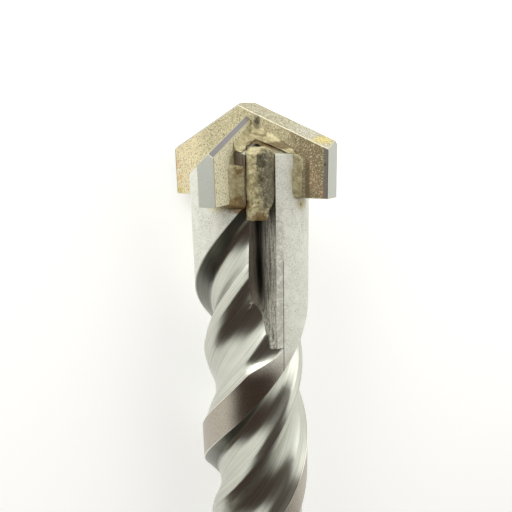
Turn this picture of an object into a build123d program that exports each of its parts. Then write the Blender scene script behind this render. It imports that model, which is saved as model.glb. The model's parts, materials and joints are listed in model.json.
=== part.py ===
from build123d import *
import os
from math import atan2, cos, degrees, hypot, radians, sin, sqrt, tan

# Masonry drill bit with four carbide cutters, two straight gullets that run into
# helical flutes, and a slotted hammer-drill shank. Sizes are millimetres and degrees.
# Heights run along the bit's axis towards the tip, from the underside of the carbide.
# Azimuths turn anticlockwise seen from the tip, which is the way the bit cuts.
os.makedirs("parts", exist_ok=True)

# Cutters
cutting_diameter = 25.0
side_cutter_setback = 0.35      # side cutters stand this much inside the cutting circle
main_azimuth = -33.6
side_azimuth = -113.7
main_thickness = 2.6
side_thickness = 2.2
main_edge_height = 7.0          # cutting edge's outer end above the carbide's underside
side_edge_height = 5.7
side_seat_depth = 0.4           # side cutters sit this much deeper than the main one
roof_slope = 24.6               # cutting edges fall outwards at this angle
main_lead_land = 0.65           # width and drop of the bevel ahead of the cutting edge
main_lead_drop = 0.4
main_relief_drop = 0.95
side_lead_land = 0.68
side_lead_drop = 0.42
side_relief_drop = 1.15

# Forged steel body
body_diameter = 16.5
rim_height = 5.5                # top of the steel at its outer edge
crown_slope = 23.0              # steel between the cutters rises to the middle
braze_gap = 0.12                # film of braze all round each carbide plate
braze_fillet = 1.1              # leg of the braze fillet up a plate at the body's side
crown_fillet = 1.3              # leg of the fillet where a plate rises out of the crown
crown_fillet_inset = 0.06
pocket_fillet = 2.0             # leg of the fillet between a side plate and its pocket
pocket_fillet_top = 4.3
braze_hollow = 0.3              # how far the fillet's face stands off the corner, as a share

# Gullets: a flat wall, a floor square to it and an opposite wall that leans away
gullet_wall_azimuth = -53.0     # the flat wall and the disc that cuts it run this way
gullet_wall_offset = 1.93       # distance of that wall's plane from the axis
gullet_floor_depth = 4.5        # distance of the floor from the axis
gullet_floor_width = 1.7
gullet_lean_angle = 42.0
gullet_corner_radius = 0.35
gullet_straight_end = -9.6
gullet_cutter_radius = 17.8
gullet_overrun = 8.0            # angle that the disc's path runs on past the outside

# Pocket milled ahead of each side cutter
pocket_azimuth = -133.6
pocket_flat_distance = 6.2
pocket_bottom = -1.0

# Helical flutes: radii from the axis, angles across one flute pair from its land's edge
flute_lead = 56.5
land_trailing_angle = 92.5      # angle of the land's lower edge at height zero
land_width_angle = 37.5
flute_floor_radius = 5.85
second_floor_radius = 6.1
rib_shoulder_radius = 7.05
rib_radius = 7.5
step_radius = 7.3               # where the wall up to the next land changes slope
flute_wall_angle = 11.0
flute_floor_angle = 33.0
rib_rise_angle = 48.5
rib_crest_angle = 60.0
rib_fall_angle = 72.0
second_floor_start = 87.0
second_floor_end = 112.0
step_angle = 128.0
flute_rear_height = -158.0

# Shank for a slotted hammer-drill chuck
overall_length = 250.0
shank_diameter = 10.0
shank_length = 60.0
shank_chamfer = 1.0
neck_diameter = 11.6
neck_cone_length = 4.5
drive_slot_width = 2.8
drive_slot_depth = 1.5
drive_slot_length = 27.0
drive_slot_cutter_radius = 12.0
lock_groove_radius = 2.7
lock_groove_depth = 1.35
lock_groove_length = 20.0
lock_groove_setback = 8.5       # from the shank's end
shank_slot_azimuth = 10.0

# Bead of braze standing in the front gullet
bead_radius = 1.85
bead_azimuth = -79.5
bead_axis_radius = 7.2
bead_top = 6.4
bead_bottom = -2.4
bead_chamfer = 0.7
bead_foot_slope = 64.0          # its foot rises at this angle towards the flat wall
bead_foot_top = 0.9

main_reach = cutting_diameter / 2
side_reach = main_reach - side_cutter_setback
body_radius = body_diameter / 2
shank_radius = shank_diameter / 2
neck_radius = neck_diameter / 2
half_turn = 180.0
gullet_lip_depth = sqrt(body_radius**2 - gullet_wall_offset**2)
gullet_rise = gullet_cutter_radius + gullet_floor_depth - gullet_lip_depth
gullet_end = gullet_straight_end - sqrt(gullet_cutter_radius**2 - gullet_rise**2)
gullet_exit_angle = degrees(atan2(gullet_straight_end - gullet_end, gullet_rise)) + gullet_overrun
roof_fall = tan(radians(roof_slope))
apex_height = main_edge_height + main_reach * roof_fall
crown_height = rim_height + body_radius * tan(radians(crown_slope))
shank_end = apex_height - overall_length
neck_start = shank_end + shank_length
clear = 2.0                     # how far a cutting tool runs past what it cuts


# The bit lies on two neighbouring cutters and, further back, on a land of its flutes.
# A cutter's corner is given by its azimuth and its distance from the axis.
def corner_of(azimuth, reach, sideways):
    angle = azimuth + degrees(atan2(sideways, reach))
    return radians(angle), hypot(reach, sideways)


side_foot = corner_of(side_azimuth + half_turn, side_reach, side_thickness / 2)
main_foot = corner_of(main_azimuth + half_turn, main_reach, -main_thickness / 2)
foot_gap = (
    main_foot[1] * cos(main_foot[0]) - side_foot[1] * cos(side_foot[0]),
    main_foot[1] * sin(main_foot[0]) - side_foot[1] * sin(side_foot[0]),
)
down_angle = atan2(-foot_gap[0], foot_gap[1])
foot_drop = side_foot[1] * cos(side_foot[0] - down_angle)
rest_tilt = atan2(foot_drop - body_radius, -flute_rear_height)

# Sideways reach of the cutters, seen along the axis, to set the model astride its origin
corners = [
    corner_of(azimuth + turn, reach, side * thickness / 2)
    for azimuth, reach, thickness in (
        (main_azimuth, main_reach, main_thickness),
        (side_azimuth, side_reach, side_thickness),
    )
    for turn in (0.0, half_turn)
    for side in (-1, 1)
]
sideways = [-radius * sin(down_angle - angle) for angle, radius in corners]
axis_shift = (max(sideways) + min(sideways)) / 2

# The bit's own frame, laid down: z_dir is the bit's axis, x_dir is azimuth zero
bit = Plane(
    origin=(
        -axis_shift,
        overall_length * cos(rest_tilt) / 2 - apex_height * cos(rest_tilt),
        foot_drop * cos(rest_tilt),
    ),
    x_dir=(
        sin(down_angle),
        sin(rest_tilt) * cos(down_angle),
        -cos(rest_tilt) * cos(down_angle),
    ),
    z_dir=(0, cos(rest_tilt), sin(rest_tilt)),
)
bit_axis = Axis(bit.origin, bit.z_dir)


def outward(azimuth):
    return bit.x_dir * cos(radians(azimuth)) + bit.y_dir * sin(radians(azimuth))


# A plane through the axis: x runs outwards at the azimuth, y up the axis,
# and its normal points to the side that trails when the bit turns
def radial_plane(azimuth):
    return Plane(origin=bit.origin, x_dir=outward(azimuth), z_dir=outward(azimuth - 90))


# A plane square to a cutting edge at its outer end: x towards the trailing side,
# y away from the carbide, and the normal up the edge to the middle
def edge_plane(azimuth, reach, edge_height, edge_shift):
    fall = outward(azimuth) * cos(radians(roof_slope)) - bit.z_dir * sin(radians(roof_slope))
    foot = bit.origin + outward(azimuth) * reach + bit.z_dir * edge_height
    start = foot - outward(azimuth - 90) * edge_shift + fall * clear
    return Plane(origin=start, x_dir=outward(azimuth - 90), z_dir=-fall)


def polar(radius, angle):
    return radius * cos(radians(angle)), radius * sin(radians(angle))


# Section of what is ground off above a cutting edge: a bevel ahead of it, relief behind it
def grinding_outline(thickness, lead_land, lead_drop, relief_drop):
    behind = thickness - lead_land
    Polyline(
        (0, 0),
        (-lead_land - clear, -lead_drop * (lead_land + clear) / lead_land),
        (-lead_land - clear, apex_height),
        (behind + clear, apex_height),
        (behind + clear, -relief_drop * (behind + clear) / behind),
        close=True,
    )


# Carbide: one main plate right across the head, and two side plates against its flanks
with BuildPart() as main_cutter:
    with BuildSketch(radial_plane(main_azimuth)):
        with BuildLine():
            Polyline(
                (-main_reach, 0),
                (main_reach, 0),
                (main_reach, main_edge_height + clear),
                (0, apex_height + clear),
                (-main_reach, main_edge_height + clear),
                close=True,
            )
        make_face()
    extrude(amount=main_thickness / 2, both=True)
    for turn in (0.0, half_turn):
        edge = edge_plane(
            main_azimuth + turn, main_reach, main_edge_height, main_thickness / 2 - main_lead_land
        )
        with BuildSketch(edge):
            with BuildLine():
                grinding_outline(main_thickness, main_lead_land, main_lead_drop, main_relief_drop)
            make_face()
        extrude(amount=main_reach / cos(radians(roof_slope)) + 2 * clear, mode=Mode.SUBTRACT)


def side_plate(azimuth):
    with BuildPart() as plate:
        with BuildSketch(radial_plane(azimuth)):
            with BuildLine():
                Polyline(
                    (0, -side_seat_depth),
                    (side_reach, -side_seat_depth),
                    (side_reach, side_edge_height + clear),
                    (0, side_edge_height + clear + side_reach * roof_fall),
                    close=True,
                )
            make_face()
        extrude(amount=side_thickness / 2, both=True)
        edge = edge_plane(
            azimuth, side_reach, side_edge_height, side_thickness / 2 - side_lead_land
        )
        with BuildSketch(edge):
            with BuildLine():
                grinding_outline(side_thickness, side_lead_land, side_lead_drop, side_relief_drop)
            make_face()
        extrude(amount=side_reach / cos(radians(roof_slope)) + 2 * clear, mode=Mode.SUBTRACT)
        # its inner end is cut to lie along the main plate's flank
        with BuildSketch(radial_plane(main_azimuth)):
            with Locations((0, apex_height / 2)):
                Rectangle(2 * main_reach, 2 * apex_height)
        extrude(amount=main_thickness / 2 + braze_gap, both=True, mode=Mode.SUBTRACT)
        with BuildSketch(radial_plane(azimuth + half_turn)):
            with Locations((main_reach / 2, apex_height / 2)):
                Rectangle(main_reach, 2 * apex_height)
        extrude(amount=main_reach / 2, both=True, mode=Mode.SUBTRACT)
    return plate


side_cutter_front = side_plate(side_azimuth)
side_cutter_rear = side_plate(side_azimuth + half_turn)


# Outline of the turned blank, from the shank's end to the crown between the cutters
def blank_outline():
    Polyline(
        (0, shank_end),
        (shank_radius - shank_chamfer, shank_end),
        (shank_radius, shank_end + shank_chamfer),
        (shank_radius, neck_start),
        (neck_radius, neck_start + neck_cone_length),
        (neck_radius, flute_rear_height - neck_cone_length),
        (body_radius, flute_rear_height),
        (body_radius, rim_height),
        (0, crown_height),
        close=True,
    )


# A gullet's own plane: x runs down its flat wall to the outside, y across its floor
def gullet_plane(turn, height):
    return Plane(
        origin=bit.origin + bit.z_dir * height,
        x_dir=outward(gullet_wall_azimuth + turn),
        z_dir=bit.z_dir,
    )


# A disc cutter runs straight along the axis and leaves the steel on a round path
def gullet_room(turn):
    top = body_radius + clear
    lean = (top - gullet_floor_depth) * tan(radians(gullet_lean_angle))
    foot = -gullet_wall_offset - gullet_floor_width
    plane = gullet_plane(turn, gullet_straight_end)
    with BuildPart() as room:
        with BuildSketch(plane) as section:
            with BuildLine():
                Polyline(
                    (top, -gullet_wall_offset),
                    (gullet_floor_depth, -gullet_wall_offset),
                    (gullet_floor_depth, foot),
                    (top, foot - lean),
                    close=True,
                )
            make_face()
            fillet(section.vertices().group_by(Axis.X)[0], radius=gullet_corner_radius)
        extrude(amount=crown_height - gullet_straight_end)
        centre = plane.origin + plane.x_dir * (gullet_floor_depth + gullet_cutter_radius)
        revolve(section.sketch, axis=Axis(centre, -plane.y_dir), revolution_arc=gullet_exit_angle)
    return room


# The pocket ahead of a side cutter is a flat, from the plate's middle plane to the outside
def pocket_room(turn):
    reach = body_radius + clear
    ahead = tan(radians(side_azimuth - pocket_azimuth))
    plane = Plane(
        origin=bit.origin + bit.z_dir * pocket_bottom,
        x_dir=outward(pocket_azimuth + turn),
        z_dir=bit.z_dir,
    )
    with BuildPart() as room:
        with BuildSketch(plane):
            with BuildLine():
                Polyline(
                    (pocket_flat_distance, pocket_flat_distance * ahead),
                    (pocket_flat_distance, reach),
                    (reach, reach),
                    (reach, reach * ahead),
                    close=True,
                )
            make_face()
        extrude(amount=crown_height - pocket_bottom)
    return room


# Grinding a side cutter's relief takes the steel behind it down in the same plane
def relief_room(turn):
    behind = side_thickness - side_lead_land
    slope = side_relief_drop / behind
    edge = edge_plane(
        side_azimuth + turn, side_reach, side_edge_height, side_thickness / 2 - side_lead_land
    )
    with BuildPart() as room:
        with BuildSketch(edge):
            with BuildLine():
                Polyline(
                    (behind, -side_relief_drop),
                    (behind + body_diameter, -side_relief_drop - body_diameter * slope),
                    (behind + body_diameter, apex_height),
                    (behind, apex_height),
                    close=True,
                )
            make_face()
        extrude(amount=side_reach / cos(radians(roof_slope)) + 2 * clear)
    return room


gullets = [gullet_room(turn) for turn in (0.0, half_turn)]
pockets = [pocket_room(turn) for turn in (0.0, half_turn)]
reliefs = [relief_room(turn) for turn in (0.0, half_turn)]


# What the flute cutters take away between two lands, drawn at height zero. Both outer
# walls run on past the outside at the slope they have where they meet it.
def flute_outline():
    end = half_turn - land_width_angle
    steep = clear / (body_radius - flute_floor_radius)
    gentle = clear / (body_radius - step_radius)

    def at(radius, angle):
        return polar(radius, land_trailing_angle + angle)

    steep_top = at(body_radius + clear, -flute_wall_angle * steep)
    gentle_top = at(body_radius + clear, end + (end - step_angle) * gentle)
    Polyline(
        steep_top,
        at(flute_floor_radius, flute_wall_angle),
        at(flute_floor_radius, flute_floor_angle),
        at(rib_shoulder_radius, rib_rise_angle),
        at(rib_radius, rib_crest_angle),
        at(rib_shoulder_radius, rib_fall_angle),
        at(second_floor_radius, second_floor_start),
        at(second_floor_radius, second_floor_end),
        at(step_radius, step_angle),
        gentle_top,
    )
    ThreePointArc(gentle_top, at(body_radius + 2 * clear, end / 2), steep_top)


# The section is twisted along the axis. Beyond the gullet that it opens into, the head
# stays whole, from the middle of the gullet's floor round to the other side.
def flute_cut(turn):
    rear = flute_rear_height - neck_cone_length - clear
    twist = -rear * 360 / flute_lead
    with BuildSketch(bit.offset(rear)) as section:
        with BuildSketch(mode=Mode.PRIVATE) as drawn:
            with BuildLine():
                flute_outline()
            make_face()
        add(drawn.sketch, rotation=turn - twist)
    solid = Solid.extrude_linear_with_rotation(
        section.sketch.face(), bit.origin + bit.z_dir * rear, bit.z_dir * -rear, twist
    )
    reach = body_radius + 3 * clear
    whole_side = -gullet_wall_offset - gullet_floor_width / 3
    whole_end = gullet_end + gullet_corner_radius
    with BuildPart() as cut:
        add(solid)
        with BuildSketch(gullet_plane(turn + half_turn, whole_end)):
            with Locations((0, (reach + whole_side) / 2)):
                Rectangle(2 * reach, reach - whole_side)
        extrude(amount=clear - whole_end, mode=Mode.SUBTRACT)
    return cut


# The room that a plate and its film of braze take up in the steel
def plate_seat(azimuth, inner, seat_height, thickness):
    with BuildPart() as seat:
        with BuildSketch(radial_plane(azimuth)):
            with BuildLine():
                Polyline(
                    (inner, seat_height),
                    (body_radius + clear, seat_height),
                    (body_radius + clear, crown_height + clear),
                    (inner, crown_height + clear),
                    close=True,
                )
            make_face()
        extrude(amount=thickness / 2, both=True)
    return seat


main_film = plate_seat(
    main_azimuth, -body_radius - clear, -braze_gap, main_thickness + 2 * braze_gap
)
side_films = [
    plate_seat(side_azimuth + turn, 0, -side_seat_depth - braze_gap, side_thickness + 2 * braze_gap)
    for turn in (0.0, half_turn)
]


# Drive slots run out of the shank's end; ball grooves are closed at both ends
def drive_slot_outline():
    floor = shank_radius - drive_slot_depth
    stop = shank_end + drive_slot_length
    run = sqrt(drive_slot_cutter_radius**2 - (drive_slot_cutter_radius - drive_slot_depth) ** 2)
    Polyline(
        (floor, stop - run),
        (floor, shank_end - clear),
        (shank_radius + clear, shank_end - clear),
        (shank_radius + clear, stop),
        (shank_radius, stop),
    )
    RadiusArc((shank_radius, stop), (floor, stop - run), -drive_slot_cutter_radius)


def lock_groove_outline():
    middle = shank_radius - lock_groove_depth + lock_groove_radius
    low = shank_end + lock_groove_setback
    high = low + lock_groove_length
    floor = middle - lock_groove_radius
    Line((middle, high), (middle, low))
    RadiusArc((middle, low), (floor, low + lock_groove_radius), lock_groove_radius)
    Line((floor, low + lock_groove_radius), (floor, high - lock_groove_radius))
    RadiusArc((floor, high - lock_groove_radius), (middle, high), lock_groove_radius)


with BuildPart() as blank:
    with BuildSketch(radial_plane(0)):
        with BuildLine():
            blank_outline()
        make_face()
    revolve(axis=bit_axis)

# Steel body: one forging, turned, fluted, slotted for the plates and milled at the shank
with BuildPart() as steel_body:
    add(blank.part)
    for turn in (0.0, half_turn):
        add(flute_cut(turn).part, mode=Mode.SUBTRACT)
    for room in (*gullets, *pockets, *reliefs, main_film, *side_films):
        add(room.part, mode=Mode.SUBTRACT)
    for turn in (0.0, half_turn):
        with BuildSketch(radial_plane(shank_slot_azimuth + turn)):
            with BuildLine():
                drive_slot_outline()
            make_face()
        extrude(amount=drive_slot_width / 2, both=True, mode=Mode.SUBTRACT)
        groove_azimuth = shank_slot_azimuth + 90 + turn
        groove_middle = shank_radius - lock_groove_depth + lock_groove_radius
        with BuildSketch(radial_plane(groove_azimuth)):
            with BuildLine():
                lock_groove_outline()
            make_face()
        revolve(
            axis=Axis(bit.origin + outward(groove_azimuth) * groove_middle, bit.z_dir),
            mode=Mode.SUBTRACT,
        )


# Braze: the film round a plate, as far as the steel reaches, and the fillets outside it
def fillet_outline(thickness, side):
    corner_angle = degrees(atan2(thickness / 2, body_radius)) * side
    corner_x = sqrt(body_radius**2 - thickness**2 / 4)
    far_angle = corner_angle + degrees(braze_fillet / body_radius) * side
    half_angle = (corner_angle + far_angle) / 2
    flank = (corner_x + braze_fillet, side * thickness / 2)
    corner = (corner_x, side * thickness / 2)
    far_x, far_y = polar(body_radius, far_angle)
    hollow = (
        corner_x + braze_hollow * braze_fillet,
        corner[1] + (far_y - corner[1]) * braze_hollow,
    )
    Line(corner, flank)
    ThreePointArc(flank, hollow, (far_x, far_y))
    ThreePointArc((far_x, far_y), polar(body_radius, half_angle), corner)


# Fillets along the crown, where a plate's flanks rise out of the steel
def crown_fillets(azimuth, thickness, sides, others):
    flank = thickness / 2
    with BuildPart() as fillets:
        for turn, side in sides:
            angle = azimuth + turn
            fall = outward(angle) * cos(radians(crown_slope)) - bit.z_dir * sin(radians(crown_slope))
            rim = bit.origin + outward(angle) * body_radius + bit.z_dir * rim_height
            with BuildSketch(Plane(rim + fall * clear, x_dir=outward(angle + 90), z_dir=-fall)):
                with BuildLine():
                    ThreePointArc(
                        (side * flank, -crown_fillet),
                        (side * (flank + crown_fillet * braze_hollow), -crown_fillet * braze_hollow),
                        (side * (flank + crown_fillet), 0),
                    )
                    Polyline(
                        (side * (flank + crown_fillet), 0),
                        (side * (flank + crown_fillet), clear),
                        (side * flank, clear),
                        (side * flank, -crown_fillet),
                    )
                make_face()
            extrude(amount=body_radius / cos(radians(crown_slope)) + clear)
        with BuildSketch(bit):
            Circle(body_radius - crown_fillet_inset)
        extrude(amount=apex_height, mode=Mode.INTERSECT)
        for room in (*gullets, *pockets, *reliefs, *others, blank):
            add(room.part, mode=Mode.SUBTRACT)
    return fillets


def braze_round(film, azimuth, inner, seat_height, thickness, sides, crown):
    with BuildPart() as braze:
        with BuildSketch(bit.offset(-side_seat_depth - clear)):
            Circle(body_radius)
        extrude(amount=side_seat_depth + clear + rim_height)
        with BuildSketch(radial_plane(0)):
            with BuildLine():
                Polyline(
                    (0, rim_height), (body_radius, rim_height), (0, crown_height), close=True
                )
            make_face()
        revolve(axis=bit_axis)
        add(film.part, mode=Mode.INTERSECT)
        for turn, side in sides:
            angle = azimuth + turn
            turned = Plane(bit.origin, x_dir=outward(angle), z_dir=bit.z_dir)
            with BuildSketch(turned.offset(seat_height)):
                with BuildLine():
                    fillet_outline(thickness, side)
                make_face()
            extrude(amount=rim_height - seat_height)
        add(crown.part)
        add(plate_seat(azimuth, inner, seat_height, thickness).part, mode=Mode.SUBTRACT)
        for room in reliefs:
            add(room.part, mode=Mode.SUBTRACT)
    return braze


main_sides = [(turn, side) for turn in (0.0, half_turn) for side in (-1, 1)]
main_crown = crown_fillets(main_azimuth, main_thickness, main_sides, side_films)
braze_main = braze_round(
    main_film, main_azimuth, -body_radius - clear, 0, main_thickness, main_sides, main_crown
)


# The fillet between a side plate's leading flank and the flat of its pocket
def pocket_fillet_outline():
    lean = radians(side_azimuth - pocket_azimuth)
    flank = side_thickness / 2
    corner = ((pocket_flat_distance + flank * sin(lean)) / cos(lean), flank)
    along = (pocket_fillet * sin(lean), pocket_fillet * cos(lean))
    far = (corner[0] + along[0], corner[1] + along[1])
    hollow = (
        corner[0] + braze_hollow * (pocket_fillet + along[0]),
        corner[1] + braze_hollow * along[1],
    )
    Polyline(far, corner, (corner[0] + pocket_fillet, flank))
    ThreePointArc((corner[0] + pocket_fillet, flank), hollow, far)


def side_braze(film, turn):
    azimuth = side_azimuth + turn
    crown = crown_fillets(azimuth, side_thickness, [(0.0, -1), (0.0, 1)], [])
    base = braze_round(film, azimuth, 0, -side_seat_depth, side_thickness, [(0.0, -1)], crown)
    turned = Plane(bit.origin, x_dir=outward(azimuth), z_dir=bit.z_dir)
    with BuildPart() as braze:
        add(base.part)
        for other in (main_film, braze_main):
            add(other.part, mode=Mode.SUBTRACT)
        with BuildSketch(turned.offset(pocket_bottom)):
            with BuildLine():
                pocket_fillet_outline()
            make_face()
        extrude(amount=pocket_fillet_top - pocket_bottom)
    return braze


braze_front, braze_rear = (
    side_braze(film, turn) for film, turn in zip(side_films, (0.0, half_turn))
)

# A bead of braze that ran down the front gullet and set there, against its flat wall
foot_run = (bead_foot_top - bead_bottom) / tan(radians(bead_foot_slope))
across = Plane(bit.origin, x_dir=outward(gullet_wall_azimuth + 90), z_dir=outward(gullet_wall_azimuth))
with BuildPart() as braze_bead:
    with BuildSketch(bit.offset(bead_bottom)):
        with Locations(polar(bead_axis_radius, bead_azimuth)):
            Circle(bead_radius)
    extrude(amount=bead_top - bead_bottom)
    chamfer(braze_bead.edges().group_by(Axis(bit.origin, bit.z_dir))[-1], length=bead_chamfer)
    with BuildSketch(across):
        with BuildLine():
            Polyline(
                (-gullet_wall_offset, bead_foot_top),
                (-gullet_wall_offset - foot_run, bead_bottom),
                (-gullet_wall_offset, bead_bottom),
                close=True,
            )
        make_face()
    extrude(amount=body_radius + clear, mode=Mode.SUBTRACT)
    add(gullets[0].part, mode=Mode.INTERSECT)
    add(braze_front.part, mode=Mode.SUBTRACT)

pieces = {
    "steel_body": steel_body,
    "main_cutter": main_cutter,
    "side_cutter_front": side_cutter_front,
    "side_cutter_rear": side_cutter_rear,
    "braze_main": braze_main,
    "braze_front": braze_front,
    "braze_rear": braze_rear,
    "braze_bead": braze_bead,
}
for name, piece in pieces.items():
    piece.part.label = name
    export_step(piece.part, f"parts/{name}.step")
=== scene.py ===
import json
import math

import bpy
from mathutils import Matrix, Vector
from mathutils.kdtree import KDTree


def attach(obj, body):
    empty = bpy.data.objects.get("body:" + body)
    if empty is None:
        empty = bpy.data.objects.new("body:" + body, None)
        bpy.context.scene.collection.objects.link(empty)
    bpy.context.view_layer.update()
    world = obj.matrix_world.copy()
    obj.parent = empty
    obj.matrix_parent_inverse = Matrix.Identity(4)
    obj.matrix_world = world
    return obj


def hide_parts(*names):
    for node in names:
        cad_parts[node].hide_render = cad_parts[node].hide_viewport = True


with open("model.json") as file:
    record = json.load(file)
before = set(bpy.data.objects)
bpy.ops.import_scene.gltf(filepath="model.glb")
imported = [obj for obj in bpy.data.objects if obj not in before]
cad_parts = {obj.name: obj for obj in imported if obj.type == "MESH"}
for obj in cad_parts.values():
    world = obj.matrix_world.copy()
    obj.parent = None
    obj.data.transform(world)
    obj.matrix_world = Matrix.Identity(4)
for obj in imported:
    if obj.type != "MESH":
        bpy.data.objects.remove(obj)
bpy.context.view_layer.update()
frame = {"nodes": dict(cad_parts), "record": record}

mm = 0.001

# The bit lies on the floor, so its own directions are worked out first.
# bitAxis points to the tip, bitX and bitY span its section, and heights start under the carbide.
bit = {
    "shankMountHeight": -206.777,  # mm, the mount's height on the bit's axis
    "downAzimuth": 104.73,         # degrees, the azimuth that points at the floor
    "bodyRadius": 8.25,
    "mainAzimuth": -33.6,          # degrees, where the main plate's scorched end points
    "sideAzimuth": -113.7,
    "gulletAzimuth": -53.0,        # the gullet's flat wall runs out this way
    "gulletWall": 1.93,            # mm from the axis to that wall
    "gulletFloor": 4.5,            # mm from the axis to its floor
    "fluteLead": 56.5,             # mm of height for one turn of a flute
    "landEdge": 92.5,              # azimuth of the land's lower edge at height zero
}

shankMount = frame["record"]["mounts"][0]
bitAxis = -Vector(shankMount["axis"])
bitOrigin = Vector(shankMount["pos_m"]) - bitAxis * bit["shankMountHeight"] * mm
restTilt = math.asin(bitAxis.z)
down = math.radians(bit["downAzimuth"])
bitX = Vector((
    math.sin(down), math.sin(restTilt) * math.cos(down), -math.cos(restTilt) * math.cos(down),
))
bitY = bitAxis.cross(bitX)
bitTurn = Matrix((bitX, bitY, bitAxis)).transposed()


def toWorld(x, y, height):
    return bitOrigin + bitTurn @ Vector((x, y, height)) * mm


def toBit(point):
    return bitTurn.transposed() @ (Vector(point) - bitOrigin) / mm


def outward(azimuth):
    angle = math.radians(azimuth)
    return bitX * math.cos(angle) + bitY * math.sin(angle)


def azimuthOf(place):
    return math.degrees(math.atan2(place.y, place.x))


# Angle from the land's lower edge to a point, measured along the helix, 0 to 180
def helixAngle(place):
    turned = azimuthOf(place) - place.z * 360 / bit["fluteLead"] - bit["landEdge"]
    return turned % 180


# Camera: it looks down on the bit as it lies, with the tip at the top of the picture
photoCamera = {
    "place": (0.695, -62.457, 5.425),  # mm in the bit's own directions
    "pitch": 12.81,                    # degrees, down from square to the axis
    "roll": -1.238,
    "lens": 31.09,
    "sensor": 36.0,
    "nearest": 0.001,                  # m
}


def makeCamera():
    pitch = math.radians(photoCamera["pitch"])
    roll = math.radians(photoCamera["roll"])
    right = Vector((math.cos(roll), math.sin(pitch) * math.sin(roll), math.cos(pitch) * math.sin(roll)))
    forward = Vector((0, math.cos(pitch), -math.sin(pitch)))
    up = right.cross(forward)
    cameraData = bpy.data.cameras.new("photoCamera")
    camera = bpy.data.objects.new("photoCamera", cameraData)
    bpy.context.scene.collection.objects.link(camera)
    camera.location = toWorld(*photoCamera["place"])
    camera.rotation_mode = "QUATERNION"
    camera.rotation_quaternion = (bitTurn @ Matrix((right, up, -forward)).transposed()).to_quaternion()
    cameraData.lens = photoCamera["lens"]
    cameraData.sensor_width = photoCamera["sensor"]
    cameraData.clip_start = photoCamera["nearest"]
    bpy.context.scene.camera = camera
    print("camera placed")


def hexColour(code):
    channels = [int(code[place:place + 2], 16) / 255 for place in (1, 3, 5)]
    return [c / 12.92 if c <= 0.04045 else ((c + 0.055) / 1.055) ** 2.4 for c in channels] + [1.0]


# Adds a node; settings are its properties or input values, links its input sockets
def addNode(tree, kind, settings=None, links=None):
    node = tree.nodes.new(kind)
    for name, value in (settings or {}).items():
        if isinstance(name, int) or name in node.inputs:
            node.inputs[name].default_value = value
        else:
            setattr(node, name, value)
    for name, source in (links or {}).items():
        tree.links.new(source, node.inputs[name])
    return node


def newMaterial(name):
    material = bpy.data.materials.new(name)
    material.use_nodes = True
    tree = material.node_tree
    return material, tree, tree.nodes["Principled BSDF"]


# Arithmetic on sockets and plain numbers
def calculate(tree, operation, *values):
    node = addNode(tree, "ShaderNodeMath", {"operation": operation})
    for place, value in enumerate(values):
        if isinstance(value, (int, float)):
            node.inputs[place].default_value = value
        else:
            tree.links.new(value, node.inputs[place])
    return node.outputs[0]


def product(tree, first, *factors):
    total = first
    for factor in factors:
        total = calculate(tree, "MULTIPLY", total, factor)
    return total


def greatest(tree, first, *others):
    total = first
    for other in others:
        total = calculate(tree, "MAXIMUM", total, other)
    return total


def lengthOf(tree, vector):
    return addNode(tree, "ShaderNodeVectorMath", {"operation": "LENGTH"}, {0: vector}).outputs["Value"]


# Places on the bit in millimetres, as sockets: the point, its radius, azimuth, height and helix angle
def bitPlaces(tree):
    coords = addNode(tree, "ShaderNodeTexCoord")
    place = addNode(tree, "ShaderNodeMapping", {
        "vector_type": "TEXTURE",
        "Location": bitOrigin,
        "Rotation": bitTurn.to_euler(),
        "Scale": (mm, mm, mm),
    }, {"Vector": coords.outputs["Object"]}).outputs[0]
    split = addNode(tree, "ShaderNodeSeparateXYZ", links={0: place})
    flat = addNode(tree, "ShaderNodeCombineXYZ", links={0: split.outputs[0], 1: split.outputs[1]})
    azimuth = calculate(tree, "DEGREES", calculate(tree, "ARCTAN2", split.outputs[1], split.outputs[0]))
    unwound = calculate(tree, "MULTIPLY_ADD", split.outputs[2], -360 / bit["fluteLead"], azimuth)
    fromEdge = calculate(tree, "SUBTRACT", unwound, bit["landEdge"])
    return {
        "place": place,
        "radius": lengthOf(tree, flat.outputs[0]),
        "azimuth": azimuth,
        "height": split.outputs[2],
        "helix": calculate(tree, "FLOORED_MODULO", fromEdge, 180.0),
    }


# A soft step from 0 to 1 as the value passes from start to end
def softStep(tree, value, start, end):
    return addNode(tree, "ShaderNodeMapRange", {
        "interpolation_type": "SMOOTHSTEP", "From Min": start, "From Max": end,
    }, {"Value": value}).outputs[0]


def mixColours(tree, factor, first, second):
    node = addNode(tree, "ShaderNodeMix", {"data_type": "RGBA"}, {0: factor})
    for slot, colour in ((6, first), (7, second)):
        if isinstance(colour, str):
            node.inputs[slot].default_value = hexColour(colour)
        else:
            tree.links.new(colour, node.inputs[slot])
    return node.outputs[2]


def grain(tree, vector, scale, detail=3.0, roughness=0.6):
    return addNode(tree, "ShaderNodeTexNoise", {
        "Scale": scale, "Detail": detail, "Roughness": roughness,
    }, {"Vector": vector}).outputs["Fac"]


def vectorMath(tree, operation, vector, other):
    return addNode(tree, "ShaderNodeVectorMath", {"operation": operation, 1: other}, {0: vector})


def stretched(tree, vector, scale):
    return vectorMath(tree, "MULTIPLY", vector, scale).outputs[0]


# 1 inside an ellipsoid round a spot on the bit, fading to 0 at its edge; ragged noise moves the edge
def spot(tree, at, centre, reach, ragged=None, amount=0.8, core=0.55):
    offset = vectorMath(tree, "SUBTRACT", at["place"], centre)
    shrunk = vectorMath(tree, "DIVIDE", offset.outputs[0], reach)
    far = lengthOf(tree, shrunk.outputs[0])
    if ragged is not None:
        far = calculate(tree, "MULTIPLY_ADD", calculate(tree, "SUBTRACT", ragged, 0.5), amount * 2, far)
    return softStep(tree, far, 1.0, core)


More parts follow.
